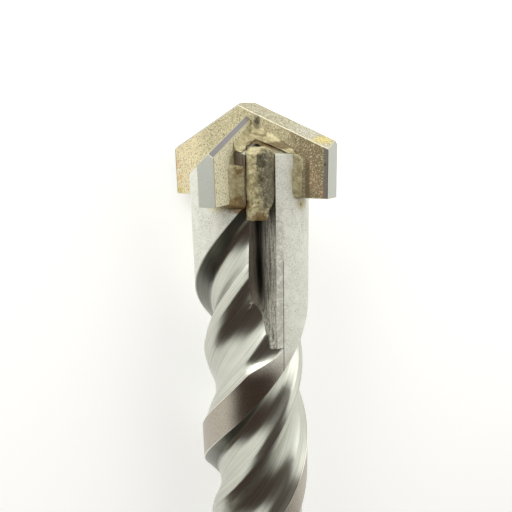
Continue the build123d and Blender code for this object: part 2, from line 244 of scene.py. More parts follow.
# Lays one colour over another in some spots; edge holds the raggedness and the core of each
def tintSpots(tree, at, colour, tint, places, strength, ragged=None, edge=(0.8, 0.55)):
    for place in places:
        share = product(tree, spot(tree, at, *place, ragged, *edge), strength)
        colour = mixColours(tree, share, colour, tint)
    return colour


# 1 where a value is within a width of a middle, fading to 0 outside it
def band(tree, value, middle, width):
    away = calculate(tree, "ABSOLUTE", calculate(tree, "SUBTRACT", value, middle))
    return softStep(tree, away, width, width * 0.4)


# 1 along a thin line on the skin: its azimuth at height zero, its slant and its two ends
def skinLine(tree, at, line):
    straight = calculate(tree, "MULTIPLY_ADD", at["height"], -line["slant"], at["azimuth"])
    away = calculate(tree, "ABSOLUTE", calculate(tree, "SUBTRACT", straight, line["azimuth"]))
    return product(
        tree,
        softStep(tree, away, line["width"], line["width"] * 0.3),
        softStep(tree, at["height"], line["bottom"] - 0.3, line["bottom"] + 0.3),
        softStep(tree, at["height"], line["top"] + 0.3, line["top"] - 0.3),
        softStep(tree, at["radius"], bit["bodyRadius"] - 0.2, bit["bodyRadius"] - 0.1),
    )


# How far a point lies out along a plate, in millimetres
def outAlong(tree, at, azimuth):
    angle = math.radians(azimuth)
    direction = (math.cos(angle), math.sin(angle), 0)
    return vectorMath(tree, "DOT_PRODUCT", at["place"], direction).outputs["Value"]


def bump(tree, height, distance, strength=1.0, below=None):
    node = addNode(tree, "ShaderNodeBump", {"Strength": strength, "Distance": distance * mm},
                   {"Height": height})
    if below is not None:
        tree.links.new(below, node.inputs["Normal"])
    return node.outputs[0]


# Hardened steel, bead-blasted at the head: matte, pale and finely pitted. Down the flutes the
# cutter's helical lines show through and the surface turns satin, so it mirrors its surroundings.
forgedSteelLook = {
    "blasted": "#f1f1e7",
    "blastedShade": "#c6c6ba",
    "milled": "#d4d5ca",
    "milledShade": "#bcbdb1",
    "land": "#bdb5a8",
    "landShade": "#a0978a",
    # painted shade on the steep wall under each land edge, which faces the shank
    "steepShade": "#35352d",
    # painted highlight on the land edges, and the colour of the bright scratch
    "edge": "#f6f6ec",
    "stain": "#d5c99d",     # flux that spilled over the steel round the plates
    # scorch at the fillets' feet, and painted shade on the crown
    "burnAndCrownShade": "#8a6a38",
    "dirt": "#4a453a",
    "gritSize": 0.15,      # mm, pits left by the beads
    "lineSpacing": 0.14,   # mm between the cutter's lines on a flute floor, drawn coarse to show
    "blastEnd": (-19.5, -24.5),           # mm of height over which the blasting fades out
    "lineStretch": (0.105, 0.008, 0.2),   # mm of flute floor for a degree of helix, then height, radius
    "cloudScale": 0.6,
    "raggedScale": 1.6,
    "skinDepth": (0.25, 0.05),            # mm under the body's radius where its skin starts and is full
    "landEdges": ((141.0, -24.0), (177.0, -3.0)),   # helix angle of a land's edge, and where it starts
    "highlightWidth": 0.7,      # degrees of each land edge that gets a painted highlight
    "steepFrom": -5.0,     # helix angle where the steep wall starts
    "steepFade": (17.0, 11.0),
    "steepShadeAmount": 0.7,
    "blastedRoughness": 0.78,
    "milledRoughness": 0.28,
    "blastedMetal": 0.25,
    "milledMetal": 0.95,
    "pitDepth": 0.018,
    "lineDepth": 0.003,
    "bruiseDepth": 0.06,
    "scribe": {"azimuth": -59.5, "slant": 0.0, "width": 0.55, "top": -7.8, "bottom": -24.2},
    "scratch": {"azimuth": -46.2, "slant": -2.28, "width": 0.9, "top": -2.4, "bottom": -5.6},
    "hammered": (-64.0, 7.5),      # azimuth and half width of the strip that the gullet's cutter bruised
    "hammeredTop": (0.5, -2.5),    # mm of height over which it starts
    "hammeredFoot": (-21.5, -17.0),
    "hammeredAmount": 0.45,
    "bruiseScale": 2.2,
    "bruiseStretch": (1, 1, 0.5),
    # spots of other colour, each by its middle and its reach in mm
    "nicks": (((3.06, -7.3, -6.8), (0.28, 0.3, 0.6)),),
    "spotStrength": 0.85,
    "stainEdge": (0.5, 0.1),
    "burnAndShadeEdge": (0.5, 0.45),
    "stains": (
        ((6.9, -4.8, -0.8), (1.7, 1.7, 1.1)),
        ((5.6, -6.0, 2.6), (0.9, 0.9, 2.6)),
        ((-4.4, -7.2, -0.7), (2.4, 1.6, 1.0)),
        ((-6.9, 4.8, -0.8), (1.7, 1.7, 1.1)),
        ((4.4, 7.2, -0.7), (2.4, 1.6, 1.0)),
    ),
    "burnsAndCrownShade": (
        ((-1.2, -7.9, -0.9), (1.9, 1.2, 0.9)),
        ((1.2, 7.9, -0.9), (1.9, 1.2, 0.9)),
        # these two paint shade on the crown between the plates
        ((2.4, -6.2, 7.0), (5.2, 3.4, 1.35)),
        ((-2.4, 6.2, 7.0), (5.2, 3.4, 1.35)),
    ),
}


# Colour of the steel, from its cutter lines, its grit, its ragged noise and the places on it
def forgedColour(tree, at, onSkin, nearHead, beside, lines, grit, ragged):
    look = forgedSteelLook
    pale = softStep(tree, grit, 0.3, 0.6)
    cloud = grain(tree, at["place"], look["cloudScale"])
    blastedColour = mixColours(tree, pale, look["blastedShade"], look["blasted"])
    blastedColour = mixColours(tree, softStep(tree, cloud, 0.4, 0.75), blastedColour, look["blasted"])
    betweenLines = softStep(tree, lines, 0.3, 0.62)
    milledColour = mixColours(tree, betweenLines, look["milledShade"], look["milled"])
    # painted shade darkens the milled colour on each steep wall
    intoSteep = calculate(tree, "SUBTRACT", at["helix"], look["steepFrom"])
    steep = softStep(tree, calculate(tree, "FLOORED_MODULO", intoSteep, 180.0), *look["steepFade"])
    steepShadeShare = product(tree, steep, look["steepShadeAmount"])
    milledColour = mixColours(tree, steepShadeShare, milledColour, look["steepShade"])
    landColour = mixColours(tree, pale, look["landShade"], look["land"])
    skinColour = mixColours(tree, nearHead, landColour, blastedColour)
    colour = mixColours(tree, onSkin, milledColour, skinColour)
    hammered = product(tree, beside, softStep(tree, ragged, 0.65, 0.4), look["hammeredAmount"])
    colour = mixColours(tree, hammered, colour, look["landShade"])
    # a painted highlight along each land edge on the skin
    for angle, top in look["landEdges"]:
        landEdgeHighlight = product(tree, band(tree, at["helix"], angle, look["highlightWidth"]), onSkin,
                       softStep(tree, at["height"], top + 1, top - 1))
        colour = mixColours(tree, landEdgeHighlight, colour, look["edge"])
    for names, tint, edge in (("stains", "stain", "stainEdge"), ("burnsAndCrownShade", "burnAndCrownShade", "burnAndShadeEdge")):
        colour = tintSpots(tree, at, colour, look[tint], look[names], look["spotStrength"], ragged,
                           look[edge])
    colour = tintSpots(tree, at, colour, look["dirt"], look["nicks"], 1.0)
    colour = mixColours(tree, skinLine(tree, at, look["scribe"]), colour, look["dirt"])
    return mixColours(tree, skinLine(tree, at, look["scratch"]), colour, look["edge"])


def makeForgedSteel():
    look = forgedSteelLook
    material, tree, shader = newMaterial("forgedSteelBlasted")
    at = bitPlaces(tree)
    start, full = look["skinDepth"]
    onSkin = softStep(tree, at["radius"], bit["bodyRadius"] - start, bit["bodyRadius"] - full)
    nearHead = softStep(tree, at["height"], look["blastEnd"][1], look["blastEnd"][0])
    grit = grain(tree, at["place"], 1 / look["gritSize"], 2.0)
    ragged = grain(tree, at["place"], look["raggedScale"], 4.0)
    alongHelix = addNode(tree, "ShaderNodeCombineXYZ", links={
        0: at["helix"], 1: at["height"], 2: at["radius"],
    }).outputs[0]
    lines = grain(tree, stretched(tree, alongHelix, look["lineStretch"]), 1 / look["lineSpacing"], 2.0)
    beside = product(
        tree,
        band(tree, at["azimuth"], *look["hammered"]),
        softStep(tree, at["height"], *look["hammeredTop"]),
        softStep(tree, at["height"], *look["hammeredFoot"]),
    )
    colour = forgedColour(tree, at, onSkin, nearHead, beside, lines, grit, ragged)
    tree.links.new(colour, shader.inputs["Base Color"])
    blasted = product(tree, onSkin, nearHead)
    for socket, ends in (
        ("Roughness", ("milledRoughness", "blastedRoughness")),
        ("Metallic", ("milledMetal", "blastedMetal")),
    ):
        level = addNode(tree, "ShaderNodeMapRange", {"To Min": look[ends[0]], "To Max": look[ends[1]]},
                        {"Value": blasted})
        tree.links.new(level.outputs[0], shader.inputs[socket])
    lined = bump(tree, lines, look["lineDepth"], 0.5)
    pitted = bump(tree, grit, look["pitDepth"], 0.6, lined)
    dents = grain(tree, stretched(tree, at["place"], look["bruiseStretch"]), look["bruiseScale"], 3.0)
    bruises = product(tree, beside, dents)
    tree.links.new(bump(tree, bruises, look["bruiseDepth"], 0.8, pitted), shader.inputs["Normal"])
    return material


# Milled gullet: scored lengthwise by the disc cutter, black in its corner with the braze's soot and
# painted shade, with painted shade low on its walls and on its leaning wall
gulletSteelLook = {
    "bright": "#c9c8bc",
    # colour of the specks, and painted shade on the walls near the floor
    "speckAndShade": "#8d897c",
    # painted shade on the leaning wall
    "lean": "#8a7f74",
    # dark streaks along the scores, and black soot with painted shade in the corner's crease
    "sootAndShade": "#1d1b16",
    "scoreSpacing": 0.26,      # mm across the scores
    "scoreStretch": 0.07,
    "gritScale": 4.0,
    "gritDepth": 0.05,
    "sootAndShadeReach": (1.0, 0.1),   # mm from the corner, from clean to black with soot and painted shade
    "sootAndShadeRagged": 1.2,         # mm that the scores move the edge of the soot and painted shade
    "wallShading": (0.0, 1.9),    # mm up the wall, over which painted shade near the floor gives way to bright
    "leanFrom": (-0.5, -1.4),  # mm behind the flat wall, where the leaning one starts
    "streaks": 0.45,
    "roughness": 0.42,
    "metallic": 0.5,
    "scoreDepth": 0.035,
}


def makeGulletSteel():
    look = gulletSteelLook
    material, tree, shader = newMaterial("milledGulletSteel")
    at = bitPlaces(tree)
    lengthwise = stretched(tree, at["place"], (1, 1, look["scoreStretch"]))
    scores = grain(tree, lengthwise, 1 / look["scoreSpacing"], 4.0)
    grit = grain(tree, at["place"], look["gritScale"], 4.0)
    # the same distances serve the gullet on the far side
    depth = outAlong(tree, at, bit["gulletAzimuth"])
    side = product(tree, outAlong(tree, at, bit["gulletAzimuth"] + 90), calculate(tree, "SIGN", depth))
    fromWall = calculate(tree, "ADD", side, bit["gulletWall"])
    fromFloor = calculate(tree, "SUBTRACT", calculate(tree, "ABSOLUTE", depth), bit["gulletFloor"])
    corner = addNode(tree, "ShaderNodeCombineXYZ", links={0: fromWall, 1: fromFloor}).outputs[0]
    ragged = calculate(tree, "MULTIPLY_ADD", scores, -look["sootAndShadeRagged"], lengthOf(tree, corner))
    sootAndShadeShare = softStep(tree, calculate(tree, "ADD", ragged, look["sootAndShadeRagged"] / 2), *look["sootAndShadeReach"])
    # painted shade: the walls darken towards the floor
    upWall = softStep(tree, fromFloor, *look["wallShading"])
    wallShading = mixColours(tree, upWall, look["speckAndShade"], look["bright"])
    specks = softStep(tree, product(tree, scores, grit), 0.34, 0.16)
    speckled = mixColours(tree, specks, wallShading, look["speckAndShade"])
    # the leaning wall is painted in shade
    colour = mixColours(tree, softStep(tree, fromWall, *look["leanFrom"]), speckled, look["lean"])
    streaks = product(tree, softStep(tree, scores, 0.5, 0.35), look["streaks"])
    streaked = mixColours(tree, streaks, colour, look["sootAndShade"])
    tree.links.new(mixColours(tree, sootAndShadeShare, streaked, look["sootAndShade"]), shader.inputs["Base Color"])
    shader.inputs["Roughness"].default_value = look["roughness"]
    shader.inputs["Metallic"].default_value = look["metallic"]
    grained = bump(tree, grit, look["gritDepth"], 0.6)
    tree.links.new(bump(tree, scores, look["scoreDepth"], 0.8, grained), shader.inputs["Normal"])
    return material


# Turned shank: bare steel with fine feed marks round it
turnedSteelLook = {
    "bright": "#c3c5bd",
    "dark": "#9a9c94",
    "feed": 0.25,          # mm between feed marks, drawn coarse to show
    "feedStretch": (0.06, 0.06, 1),
    "cloudScale": 0.35,
    "roughness": 0.3,
    "metallic": 1.0,
    "feedDepth": 0.008,
}


def makeTurnedSteel():
    look = turnedSteelLook
    material, tree, shader = newMaterial("turnedShankSteel")
    at = bitPlaces(tree)
    feed = grain(tree, stretched(tree, at["place"], look["feedStretch"]), 1 / look["feed"], 2.0)
    mixed = product(tree, feed, grain(tree, at["place"], look["cloudScale"]))
    colour = mixColours(tree, softStep(tree, mixed, 0.15, 0.4), look["dark"], look["bright"])
    tree.links.new(colour, shader.inputs["Base Color"])
    shader.inputs["Roughness"].default_value = look["roughness"]
    shader.inputs["Metallic"].default_value = look["metallic"]
    tree.links.new(bump(tree, feed, look["feedDepth"], 0.5), shader.inputs["Normal"])
    return material


# Tungsten carbide under a dried film of brazing flux: khaki, sparkling and rough to the touch.
# The film is thick and pale at one end of the main plate and scorched brown at the other.
fluxedCarbideLook = {
    "flank": ("#f0e2b8", "#c3ba94", "#8a7a56"),   # pale end, middle and scorched end
    "sideFlank": ("#f3ecce", "#ece5c6", "#e2dab6"),
    "roof": ("#c9c7b2", "#b5af95", "#c6c3b1"),
    "paleFrom": (-5.0, -9.5),      # mm along the main plate
    "scorchFrom": (5.5, 9.0),
    "crystalDark": "#75694a",
    "crystalLight": "#f3ecd0",
    "tan": "#a98a68",
    "yellow": "#e0cd78",
    "rust": "#e8c193",
    "bare": "#6b6b66",             # strip beside a ground end, where the flux has flaked
    # painted shade along the step at each ground end
    "line": "#23221f",
    # painted shade in the small hollows, over darker residue
    "pitShade": "#3a321f",
    "corner": "#5d5033",
    "crystal": 0.2,                # mm, size of the flux crystals
    "filmScale": 1.1,
    "raggedScale": 2.2,
    "filmStain": 0.35,
    "crystalStrength": 0.85,
    "bareFrom": (11.75, 11.95),    # mm along the main plate
    "bareStrength": 0.85,
    "cornerAt": (9.65, 0.45),      # mm along the main plate, and half width, of the braze's shadow
    "cornerTop": (5.2, 4.2),
    "cornerStrength": 0.8,
    "mainShadeLineAt": 12.36,           # mm out along a plate, where a line of painted shade edges its ground end
    "sideShadeLineAt": 12.0,
    "shadeLineFade": 0.04,
    "roughness": 0.6,
    "metallic": 0.15,
    "filmDepth": 0.03,
    # spots of other colour, each by its middle and its reach in mm
    "tintEdge": (0.6, 0.15),
    "pitShadeEdge": (0.5, 0.2),
    "tans": (
        ((8.0, -6.9, 2.4), (1.3, 1.1, 2.0)),
        ((9.0, -7.6, 0.8), (0.9, 0.8, 1.0)),
        ((7.4, -6.5, 4.2), (0.9, 0.8, 0.7)),
    ),
    "yellows": (
        ((9.2, -6.4, 7.1), (1.9, 1.6, 1.1)),
        ((-10.6, 5.5, 0.6), (0.9, 0.9, 0.9)),
        ((-11.0, 5.7, 2.3), (0.6, 0.6, 0.8)),
    ),
    "rusts": (
        ((-10.9, 5.7, 4.6), (0.9, 0.9, 1.3)),
        ((-10.5, 5.4, 2.6), (0.7, 0.7, 0.9)),
    ),
    "pitShades": (
        ((1.15, -2.4, 9.8), (0.75, 0.8, 1.25)),
        ((9.3, -7.74, 4.2), (0.22, 0.22, 0.28)),
        ((-1.2, 2.4, 9.75), (0.5, 0.6, 0.8)),
    ),
}


# isFlank is 0 for the roofs, which have no bare strip and no painted shade line at their ends
def makeFluxedCarbide(name, tones, isFlank=1.0):
    look = fluxedCarbideLook
    material, tree, shader = newMaterial(name)
    at = bitPlaces(tree)
    along = outAlong(tree, at, bit["mainAzimuth"])
    alongSide = outAlong(tree, at, bit["sideAzimuth"])
    crystal = grain(tree, at["place"], 1 / look["crystal"], 3.0, 0.75)
    film = grain(tree, at["place"], look["filmScale"], 4.0, 0.65)
    ragged = grain(tree, at["place"], look["raggedScale"], 4.0, 0.7)
    colour = mixColours(tree, softStep(tree, along, *look["paleFrom"]), tones[1], tones[0])
    colour = mixColours(tree, softStep(tree, along, *look["scorchFrom"]), colour, tones[2])
    stained = product(tree, softStep(tree, film, 0.55, 0.75), look["filmStain"])
    colour = mixColours(tree, stained, colour, look["tan"])
    for names, tint, strength in (
        ("tans", "tan", 0.85), ("yellows", "yellow", 0.9), ("rusts", "rust", 0.8),
    ):
        colour = tintSpots(tree, at, colour, look[tint], look[names], strength, ragged, look["tintEdge"])
    for steps, tint in (((0.5, 0.34), "crystalDark"), ((0.52, 0.68), "crystalLight")):
        share = product(tree, softStep(tree, crystal, *steps), look["crystalStrength"])
        colour = mixColours(tree, share, colour, look[tint])
    bareEnd = product(tree, softStep(tree, along, *look["bareFrom"]), look["bareStrength"] * isFlank)
    colour = mixColours(tree, bareEnd, colour, look["bare"])
    inCorner = product(tree, band(tree, along, *look["cornerAt"]),
                       softStep(tree, at["height"], *look["cornerTop"]), look["cornerStrength"])
    colour = mixColours(tree, inCorner, colour, look["corner"])
    # a line of painted shade at the ends of the flanks
    for reach, end in ((along, look["mainShadeLineAt"]), (alongSide, look["sideShadeLineAt"])):
        out = calculate(tree, "ABSOLUTE", reach)
        lined = product(tree, softStep(tree, out, end, end + look["shadeLineFade"]), isFlank)
        colour = mixColours(tree, lined, colour, look["line"])
    # painted shade in the hollows
    colour = tintSpots(tree, at, colour, look["pitShade"], look["pitShades"], 0.9, ragged, look["pitShadeEdge"])
    tree.links.new(colour, shader.inputs["Base Color"])
    shader.inputs["Roughness"].default_value = look["roughness"]
    shader.inputs["Metallic"].default_value = look["metallic"]
    rough = bump(tree, film, look["filmDepth"] * 2, 0.6)
    tree.links.new(bump(tree, crystal, look["filmDepth"], 0.7, rough), shader.inputs["Normal"])
    return material


# Bare tungsten carbide, ground flat: a cool grey with a faint sheen
groundCarbideLook = {
    "bevel": "#8b8787",
    "end": "#bfc1b9",
    # painted highlight on the plates' broken edges
    "edge": "#d2ccb2",
    "speck": "#a9aba4",
    "grit": 0.12,          # mm
    "gritDepth": 0.006,
    "roughness": 0.38,
    "metallic": 0.8,
}


def makeGroundCarbide(name, colourCode):
    look = groundCarbideLook
    material, tree, shader = newMaterial(name)
    at = bitPlaces(tree)
    speck = grain(tree, at["place"], 1 / look["grit"], 2.0)
    colour = mixColours(tree, softStep(tree, speck, 0.55, 0.75), colourCode, look["speck"])
    tree.links.new(colour, shader.inputs["Base Color"])
    shader.inputs["Roughness"].default_value = look["roughness"]
    shader.inputs["Metallic"].default_value = look["metallic"]
    tree.links.new(bump(tree, speck, look["gritDepth"], 0.4), shader.inputs["Normal"])
    return material


# Brass braze that has run and set under flux: khaki-gold with brown scorch, and painted brown shade
# where it lies in the crown's hollow
scorchedBrazeLook = {
    "light": "#cfc69d",
    "middle": "#ab9f78",
    # painted shade on the braze in the crown's hollow between the plates
    "crownShade": "#6f5b3b",
    "scorch": "#7a5c2a",
    "olive": "#4d4836",
    "crystalLight": "#efe8c8",
    "lumpSize": 0.7,       # mm
    "lumpDepth": 0.05,
    "gritScale": 4.5,
    "gritDepth": 0.02,
    "raggedScale": 1.8,
    "roughness": 0.5,
    "metallic": 0.3,
    # spots of other colour, each by its middle and its reach in mm
    "olives": (
        ((2.6, -8.1, 2.2), (2.1, 2.1, 5.4)),
        ((1.6, -9.0, 4.8), (0.9, 0.8, 1.2)),
        # this spot paints the shade in the corner dimple, over darker residue
        ((1.15, -2.4, 9.6), (0.8, 0.8, 1.1)),
    ),
    "crownShades": (
        ((3.6, -5.2, 6.6), (3.2, 1.3, 0.75)),
        ((1.2, -5.2, 6.9), (1.6, 1.2, 0.7)),
        ((-3.6, 5.2, 6.6), (3.2, 1.3, 0.75)),
    ),
    "scorches": (
        ((-1.3, -8.2, -0.5), (1.9, 1.2, 1.3)),
        ((1.4, -8.6, -2.0), (1.4, 1.4, 0.9)),
        ((1.3, 8.2, -0.5), (1.9, 1.2, 1.3)),
        ((-0.9, -7.6, 3.6), (0.8, 0.8, 0.9)),
    ),
}


def makeScorchedBraze():
    look = scorchedBrazeLook
    material, tree, shader = newMaterial("scorchedBraze")
    at = bitPlaces(tree)
    lumps = grain(tree, at["place"], 1 / look["lumpSize"], 5.0, 0.65)
    grit = grain(tree, at["place"], look["gritScale"], 3.0, 0.75)
    ragged = grain(tree, at["place"], look["raggedScale"], 4.0, 0.7)
    colour = mixColours(tree, softStep(tree, lumps, 0.35, 0.65), look["middle"], look["light"])
    for names, tint, strength in (
        ("crownShades", "crownShade", 0.85), ("scorches", "scorch", 0.8), ("olives", "olive", 0.85),
    ):
        colour = tintSpots(tree, at, colour, look[tint], look[names], strength, ragged)
    for steps, strength, tint in (((0.48, 0.3), 0.6, "olive"), ((0.56, 0.72), 0.5, "crystalLight")):
        share = product(tree, softStep(tree, grit, *steps), strength)
        colour = mixColours(tree, share, colour, look[tint])
    tree.links.new(colour, shader.inputs["Base Color"])
    shader.inputs["Roughness"].default_value = look["roughness"]
    shader.inputs["Metallic"].default_value = look["metallic"]
    soft = bump(tree, lumps, look["lumpDepth"], 0.8)
    tree.links.new(bump(tree, grit, look["gritDepth"], 0.6, soft), shader.inputs["Normal"])
    return material


def onlySelect(piece):
    bpy.ops.object.select_all(action="DESELECT")
    piece.select_set(True)
    bpy.context.view_layer.objects.active = piece


weldReach = 2e-6


# A CAD node's own shape, as one joined surface that Blender shades by itself
def copyOfNode(nodeName, pieceName):
    source = frame["nodes"][nodeName]
    piece = bpy.data.objects.new(pieceName, source.data.copy())
    bpy.context.scene.collection.objects.link(piece)
    piece.data.materials.clear()
    onlySelect(piece)
    bpy.ops.object.mode_set(mode="EDIT")
    bpy.ops.mesh.select_all(action="SELECT")
    bpy.ops.mesh.remove_doubles(threshold=weldReach)
    bpy.ops.mesh.select_all(action="DESELECT")
    bpy.ops.object.mode_set(mode="OBJECT")
    bpy.ops.mesh.customdata_custom_splitnormals_clear()
    return piece


def finishPiece(piece, slotName, *nodeNames):
    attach(piece, "root")
    if nodeNames:
        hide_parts(*nodeNames)


# The flutes' section: angle from the land's edge, radius. Straight walls join these corners.
steelBody = {
    "crispAngle": 24.0,        # degrees, an edge turning more than this stays crisp
    "section": (
        (-9.1667, 10.25), (11.0, 5.85), (33.0, 5.85), (48.5, 7.05), (60.0, 7.5), (72.0, 7.05),
        (87.0, 6.1), (112.0, 6.1), (128.0, 7.3), (173.026, 10.25),
    ),
    "pace": 0.03,              # mm between the points that the section is drawn with
    "cornerRound": 0.4,        # mm each side over which a corner of a flute is eased
    "landFoot": 128.0,         # angle where the wall up to a land starts
    "landEdges": (156.1, 177.0),     # angles where a land starts and ends at the head
    "wideLandEdge": 141.0,     # angle where a land starts below the gullets, where it is wider
    "wideFrom": (-20.5, -23.5),      # mm of height over which a land widens
    "wideUntil": (-157.0, -154.0),
    "cuts": 3,                 # how often each edge of a flute is divided
    "onSurface": 0.06,         # mm, how near a point of the CAD mesh lies to the section
    "onSkin": 0.01,            # mm, how near a point of the skin lies to the body's radius
    "skinFacing": 0.95,
    "nearSkin": 0.97,          # share of the body's radius from which a skin point is seated
    "fluteRear": -158.0,       # mm of height, where the flutes run out
    "fluteHead": -0.3,
    "gulletEnd": -20.6,
    "gulletSlack": 0.1,        # mm allowed round the gullet's walls
    "gulletBack": -7.2,        # mm to the side of the axis, as far as the leaning wall goes
    "gulletOutmost": 8.1,      # mm from the axis, a gullet's faces lie inside this
}


def atAngle(radius, angle):
    return Vector((radius * math.cos(math.radians(angle)), radius * math.sin(math.radians(angle)), 0))


def smooth(value, start, end):
    share = min(max((value - start) / (end - start), 0.0), 1.0)
    return share * share * (3 - 2 * share)


# One flute's wall from land to land, as close points in the section at height zero
def drawSection():
    corners = [atAngle(radius, angle) for angle, radius in steelBody["section"]]
    drawn = []
    for first, second in zip(corners, corners[1:]):
        steps = round((second - first).length / steelBody["pace"])
        drawn += [first.lerp(second, step / steps) for step in range(steps)]
    return [point for point in drawn if point.length <= bit["bodyRadius"]]


# The same wall with its corners eased; its two ends, the lands' edges, stay crisp
def easeSection(drawn):
    most = round(steelBody["cornerRound"] / steelBody["pace"])
    eased = []
    for place, point in enumerate(drawn):
        reach = min(most, place, len(drawn) - 1 - place)
        near = drawn[place - reach:place + reach + 1]
        eased.append(sum(near, Vector()) / len(near))
    return eased


def searchTree(points):
    tree = KDTree(len(points))
    for place, point in enumerate(points):
        tree.insert(point, place)
    tree.balance()
    return tree


# Below the gullets the last wall is steeper, so that the land reaches further round
def widenSection(eased):
    foot = min(range(len(eased)), key=lambda place: abs(azimuthOf(eased[place]) - steelBody["landFoot"]))
    edge = atAngle(bit["bodyRadius"], steelBody["wideLandEdge"])
    steps = len(eased) - 1 - foot
    return eased[:foot] + [eased[foot].lerp(edge, step / steps) for step in range(steps + 1)]


def wideShare(height):
    return smooth(height, *steelBody["wideFrom"]) * smooth(height, *steelBody["wideUntil"])


# A point on the bit, turned back along the helix into the flute that starts at azimuth zero
def unwind(place):
    turn = place.z * 360 / bit["fluteLead"] + bit["landEdge"]
    fromStart = (azimuthOf(place) - turn - steelBody["section"][0][0]) % 360
    other = 180 if fromStart >= 180 else 0
    back = Matrix.Rotation(-math.radians(turn + other), 3, "Z")
    return back @ Vector((place.x, place.y, 0)), turn + other


# Place and normal are in the bit's own directions
def inGullet(place, normal):
    slack = steelBody["gulletSlack"]
    if place.z <= steelBody["gulletEnd"] or normal.dot(place) >= steelBody["gulletOutmost"]:
        return False
    for turn in (0, 180):
        side = place.dot(atAngle(1, bit["gulletAzimuth"] + turn + 90))
        depth = place.dot(atAngle(1, bit["gulletAzimuth"] + turn))
        besideWall = steelBody["gulletBack"] < side < slack - bit["gulletWall"]
        if besideWall and depth > bit["gulletFloor"] - slack:
            return True
    return False


# Vertices that the division added lie on straight chords, so they go out to the true walls.
# Those on a land spread out over it where it is wider.
def seatOnSection(mesh, drawn, drawnTree):
    eased = easeSection(drawn)
    widened = widenSection(eased)
    low, high = steelBody["landEdges"]
    spread = (high - steelBody["wideLandEdge"]) / (high - low) - 1
    kinds = {}
    for face in mesh.polygons:
        for index in face.vertices:
            kinds.setdefault(index, set()).add(face.material_index)
    for index, kind in kinds.items():
        vertex = mesh.vertices[index]
        place = toBit(vertex.co)
        nearSkin = math.hypot(place.x, place.y) > steelBody["nearSkin"] * bit["bodyRadius"]
        if wall in kind:
            flat, turned = unwind(place)
            at = drawnTree.find(flat)[1]
            if skin in kind:
                at = 0 if at < len(eased) / 2 else len(eased) - 1
            seat = eased[at].lerp(widened[at], wideShare(place.z))
            there = Matrix.Rotation(math.radians(turned), 3, "Z") @ seat
            vertex.co = toWorld(there.x, there.y, place.z)
        elif skin in kind and place.z > steelBody["fluteRear"] and nearSkin:
            back = spread * (high - min(helixAngle(place), high)) * wideShare(place.z)
            there = atAngle(bit["bodyRadius"], azimuthOf(place) - back)
            vertex.co = toWorld(there.x, there.y, place.z)


# Places in the steel's list of materials
skin, wall, gullet, shank, rest = range(5)


# Every face gets its kind, as its place in the list of materials
def sortFaces(mesh, drawnTree):
    places = [toBit(vertex.co) for vertex in mesh.vertices]
    radii = [math.hypot(place.x, place.y) for place in places]
    onSkin = [abs(radius - bit["bodyRadius"]) < steelBody["onSkin"] for radius in radii]
    onWall = [drawnTree.find(unwind(place)[0])[2] < steelBody["onSurface"] for place in places]
    for face in mesh.polygons:
        place = toBit(face.center)
        facing = bitTurn.transposed() @ face.normal
        outwards = facing.dot(Vector((place.x, place.y, 0)).normalized())
        if all(onSkin[index] for index in face.vertices) and outwards > steelBody["skinFacing"]:
            face.material_index = skin
        elif place.z < steelBody["fluteRear"]:
            face.material_index = shank
        elif place.z < steelBody["fluteHead"] and all(onWall[index] for index in face.vertices):
            face.material_index = wall
        elif inGullet(place, facing):
            face.material_index = gullet
        else:
            face.material_index = rest


def divideFlutes(mesh):
    bpy.ops.object.mode_set(mode="EDIT")
    bpy.ops.mesh.select_mode(type="FACE")
    bpy.ops.mesh.select_all(action="DESELECT")
    bpy.ops.object.mode_set(mode="OBJECT")
    for face in mesh.polygons:
        inFlutes = toBit(face.center).z > steelBody["fluteRear"]
        face.select = inFlutes and face.material_index in (skin, wall)
    bpy.ops.object.mode_set(mode="EDIT")
    bpy.ops.mesh.subdivide(number_cuts=steelBody["cuts"])
    bpy.ops.object.mode_set(mode="OBJECT")


# Within a wall or the skin every edge is smooth, and between kinds every edge is crisp
def markEdges(mesh):
    bpy.ops.object.shade_smooth_by_angle(angle=math.radians(steelBody["crispAngle"]))
    beside = {}
    for face in mesh.polygons:
        for key in face.edge_keys:
            beside.setdefault(key, []).append(face.material_index)
    for edge in mesh.edges:
        kinds = beside[tuple(sorted(edge.vertices))]
        if kinds in ([wall, wall], [skin, skin]):
            edge.use_edge_sharp = False
        elif set(kinds) in ({skin, wall}, {gullet, wall}, {gullet, skin}):
            edge.use_edge_sharp = True


def makeSteelBody(blastedSteel, gulletSteel, turnedSteel):
    piece = copyOfNode("steel_body", "steelBody")
    for material in (blastedSteel, blastedSteel, gulletSteel, turnedSteel, blastedSteel):
        piece.data.materials.append(material)
    onlySelect(piece)
    mesh = piece.data
    drawn = drawSection()
    drawnTree = searchTree(drawn)
    sortFaces(mesh, drawnTree)
    divideFlutes(mesh)
    seatOnSection(mesh, drawn, drawnTree)
    markEdges(mesh)
    finishPiece(piece, "steel", "steel_body")
    print("steel body dressed:", len(mesh.polygons), "faces")


cutter = {
    "flatAngle": 1.0,        # degrees, CAD triangles flatter than this join into one face
    "edgeRound": 0.06,       # mm
    "edgeSegments": 2,
    "edgeAngle": 15.0,       # degrees, an edge that turns more than this is broken
    "endFacing": 0.95,       # how squarely a ground end faces out along its plate
    "leadFacing": 0.3,
    "roofRise": 0.4,
}


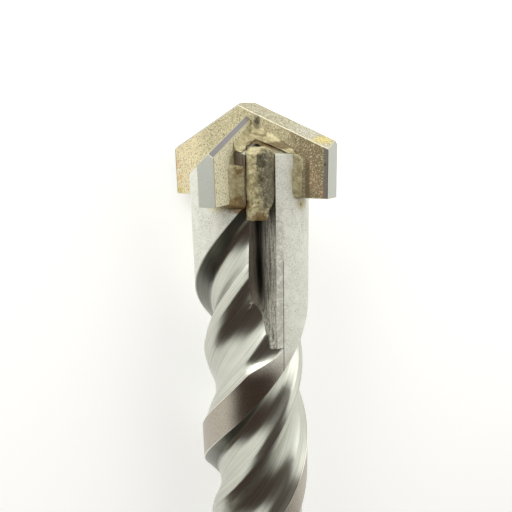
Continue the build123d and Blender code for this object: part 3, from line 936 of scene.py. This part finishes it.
# A plate with softly broken edges; its ends and the bevel ahead of its cutting edge are ground bare, and
# its broken edges carry a painted highlight
def makeCutter(nodeName, pieceName, azimuths, materials):
    piece = copyOfNode(nodeName, pieceName)
    for material in materials:
        piece.data.materials.append(material)
    bpy.ops.object.mode_set(mode="EDIT")
    bpy.ops.mesh.select_all(action="SELECT")
    bpy.ops.mesh.dissolve_limited(angle_limit=math.radians(cutter["flatAngle"]))
    bpy.ops.mesh.select_all(action="DESELECT")
    bpy.ops.object.mode_set(mode="OBJECT")
    for face in piece.data.polygons:
        for azimuth in azimuths:
            if face.normal.dot(outward(azimuth)) > cutter["endFacing"]:
                face.material_index = 1
            lead = face.normal.dot(outward(azimuth + 90))
            rise = face.normal.dot(bitAxis)
            onThatSide = (face.center - bitOrigin).dot(outward(azimuth)) > 0
            if onThatSide and rise > cutter["roofRise"]:
                face.material_index = 2 if lead > cutter["leadFacing"] else 3
    bevel = piece.modifiers.new("brokenEdges", "BEVEL")
    bevel.width = cutter["edgeRound"] * mm
    bevel.segments = cutter["edgeSegments"]
    bevel.angle_limit = math.radians(cutter["edgeAngle"])
    bevel.harden_normals = True
    # the broken edges take the painted highlight's material
    bevel.material = len(materials) - 1
    bpy.ops.object.modifier_apply(modifier=bevel.name)
    finishPiece(piece, "carbide", nodeName)
    print("cutter finished:", pieceName)


braze = {
    "voxel": 0.11,           # mm
    "smoothing": 0.5,        # how far each round relaxes the surface
    "rounds": 4,
    "lump": 0.9,             # mm across
    "lumpDetail": 3,
    "lumpHeight": 0.12,      # mm, on the fillets
    "beadLumpHeight": 0.4,   # mm, on the bead
    "runSides": 24,
    # runs of braze between two points on the bit, with their radius, all in mm
    "runs": (
        ((-0.95, -7.15, -0.8), (-0.85, -7.05, 3.9), 0.95),
        ((0.95, 7.15, -0.8), (0.85, 7.05, 3.9), 0.95),
        ((0.55, -3.0, 8.3), (2.2, -3.35, 8.0), 0.42),
        ((-3.6, -8.0, -0.35), (-0.9, -7.6, -0.6), 0.5),
        ((3.6, 8.0, -0.35), (0.9, 7.6, -0.6), 0.5),
        ((6.5, -4.86, -0.9), (6.75, -4.75, -0.95), 0.24),
        ((7.45, -3.42, -1.55), (7.5, -3.4, -1.6), 0.18),
    ),
}


def addRun(start, end, radius):
    first, last = toWorld(*start), toWorld(*end)
    bpy.ops.object.select_all(action="DESELECT")
    bpy.ops.mesh.primitive_cylinder_add(
        vertices=braze["runSides"], radius=radius * mm,
        depth=(last - first).length, location=(first + last) / 2,
        rotation=(last - first).to_track_quat("Z", "Y").to_euler(),
    )
    run = bpy.context.object
    bpy.ops.object.transform_apply()
    return run


# Braze sets in soft lumps: the CAD shape is remeshed, relaxed and swollen unevenly
def makeBraze(pieceName, nodeNames, material, lumpHeight, runs=()):
    copies = [copyOfNode(name, pieceName + str(place)) for place, name in enumerate(nodeNames)]
    copies += [addRun(*run) for run in runs]
    bpy.ops.object.select_all(action="DESELECT")
    for copy in copies:
        copy.select_set(True)
    bpy.context.view_layer.objects.active = copies[0]
    if len(copies) > 1:
        bpy.ops.object.join()
    piece = bpy.context.object
    piece.name = pieceName
    remesh = piece.modifiers.new("setMetal", "REMESH")
    remesh.mode = "VOXEL"
    remesh.voxel_size = braze["voxel"] * mm
    bpy.ops.object.modifier_apply(modifier=remesh.name)
    relax = piece.modifiers.new("relax", "SMOOTH")
    relax.factor = braze["smoothing"]
    relax.iterations = braze["rounds"]
    bpy.ops.object.modifier_apply(modifier=relax.name)
    clouds = bpy.data.textures.new(pieceName + "Lumps", "CLOUDS")
    clouds.noise_scale = braze["lump"] * mm
    clouds.noise_depth = braze["lumpDetail"]
    swell = piece.modifiers.new("lumps", "DISPLACE")
    swell.texture = clouds
    swell.texture_coords = "LOCAL"
    swell.strength = lumpHeight * mm
    swell.mid_level = 0.5
    bpy.ops.object.modifier_apply(modifier=swell.name)
    piece.data.materials.clear()
    piece.data.materials.append(material)
    bpy.ops.object.shade_smooth()
    finishPiece(piece, "braze", *nodeNames)
    print("braze set:", pieceName, len(piece.data.polygons), "faces")


studio = {
    "floorSize": 3.0,        # m
    "floor": "#f2f2f0",
    "floorRoughness": 0.9,
    "floorGlow": 0.42,       # white to the camera, and dark enough to keep the bit's shadow
    "surround": "#f4f5f0",
    "gap": "#33221a",        # the dark gap between the lights, over the bit's front
    # parts of a direction across or along the bit, between which the gap fades out
    "gapLeft": (-0.42, -0.8),
    "gapRight": (0.52, 0.9),
    "gapTip": (0.25, 0.62),
    "surroundStrength": 1.15,
    "keyPlace": (-70, -60, 90),    # mm on the bit
    "keySize": 0.12,               # m
    "keyPower": 0.1,               # W
    "fillPlace": (90, -50, 20),
    "fillSize": 0.1,
    "fillPower": 0.03,
}


def makeFloor():
    bpy.ops.mesh.primitive_plane_add(size=studio["floorSize"])
    floor = bpy.context.object
    floor.name = "studioFloor"
    material, tree, shader = newMaterial("whitePaper")
    shader.inputs["Base Color"].default_value = hexColour(studio["floor"])
    shader.inputs["Roughness"].default_value = studio["floorRoughness"]
    rays = addNode(tree, "ShaderNodeLightPath")
    seen = greatest(tree, rays.outputs["Is Camera Ray"], rays.outputs["Is Glossy Ray"],
                    rays.outputs["Is Transmission Ray"])
    shader.inputs["Emission Color"].default_value = (1, 1, 1, 1)
    tree.links.new(product(tree, seen, studio["floorGlow"]), shader.inputs["Emission Strength"])
    floor.data.materials.append(material)


# White all round, with a darker gap over the bit's front that shows only in the satin steel
def makeSurround():
    world = bpy.data.worlds.new("studioSurround")
    bpy.context.scene.world = world
    world.use_nodes = True
    tree = world.node_tree
    ray = addNode(tree, "ShaderNodeTexCoord").outputs["Generated"]
    sideways = vectorMath(tree, "DOT_PRODUCT", ray, bitX)
    tipwards = vectorMath(tree, "DOT_PRODUCT", ray, bitAxis)
    left = softStep(tree, sideways.outputs["Value"], *studio["gapLeft"])
    right = softStep(tree, sideways.outputs["Value"], *studio["gapRight"])
    tip = softStep(tree, tipwards.outputs["Value"], *studio["gapTip"])
    rays = addNode(tree, "ShaderNodeLightPath")
    seen = (rays.outputs["Is Camera Ray"], rays.outputs["Is Transmission Ray"])
    white = greatest(tree, left, right, tip, *seen)
    colour = mixColours(tree, white, studio["gap"], studio["surround"])
    background = tree.nodes["Background"]
    tree.links.new(colour, background.inputs["Color"])
    background.inputs["Strength"].default_value = studio["surroundStrength"]


def makeLamp(name, place, size, power):
    lampData = bpy.data.lights.new(name, "AREA")
    lampData.size = size
    lampData.energy = power
    lamp = bpy.data.objects.new(name, lampData)
    bpy.context.scene.collection.objects.link(lamp)
    lamp.location = toWorld(*place)
    lamp.rotation_mode = "QUATERNION"
    lamp.rotation_quaternion = (lamp.location - bitOrigin).to_track_quat("Z", "Y")


makeCamera()
makeFloor()
makeSurround()
makeLamp("keyLamp", studio["keyPlace"], studio["keySize"], studio["keyPower"])
makeLamp("fillLamp", studio["fillPlace"], studio["fillSize"], studio["fillPower"])
bpy.context.scene.view_settings.view_transform = "Standard"
print("studio lit")

blastedSteel = makeForgedSteel()
gulletSteel = makeGulletSteel()
turnedSteel = makeTurnedSteel()
makeSteelBody(blastedSteel, gulletSteel, turnedSteel)

flankCarbide = makeFluxedCarbide("fluxedCarbide", fluxedCarbideLook["flank"])
sideCarbide = makeFluxedCarbide("fluxedCarbideSide", fluxedCarbideLook["sideFlank"])
roofCarbide = makeFluxedCarbide("fluxedCarbideRoof", fluxedCarbideLook["roof"], 0.0)
endCarbide = makeGroundCarbide("groundCarbideEnd", groundCarbideLook["end"])
bevelCarbide = makeGroundCarbide("groundCarbideBevel", groundCarbideLook["bevel"])
carbideEdgeHighlight = makeGroundCarbide("paintedCarbideEdgeHighlight", groundCarbideLook["edge"])
carbides = (flankCarbide, endCarbide, bevelCarbide, roofCarbide, carbideEdgeHighlight)
sideCarbides = (sideCarbide, endCarbide, bevelCarbide, roofCarbide, carbideEdgeHighlight)
makeCutter("main_cutter", "mainCutter", (bit["mainAzimuth"], bit["mainAzimuth"] + 180), carbides)
makeCutter("side_cutter_front", "sideCutterFront", (bit["sideAzimuth"],), sideCarbides)
makeCutter("side_cutter_rear", "sideCutterRear", (bit["sideAzimuth"] + 180,), sideCarbides)

scorchedBraze = makeScorchedBraze()
makeBraze("brazeFillets", ["braze_main", "braze_front", "braze_rear"], scorchedBraze,
          braze["lumpHeight"], braze["runs"])
makeBraze("brazeBead", ["braze_bead"], scorchedBraze, braze["beadLumpHeight"])
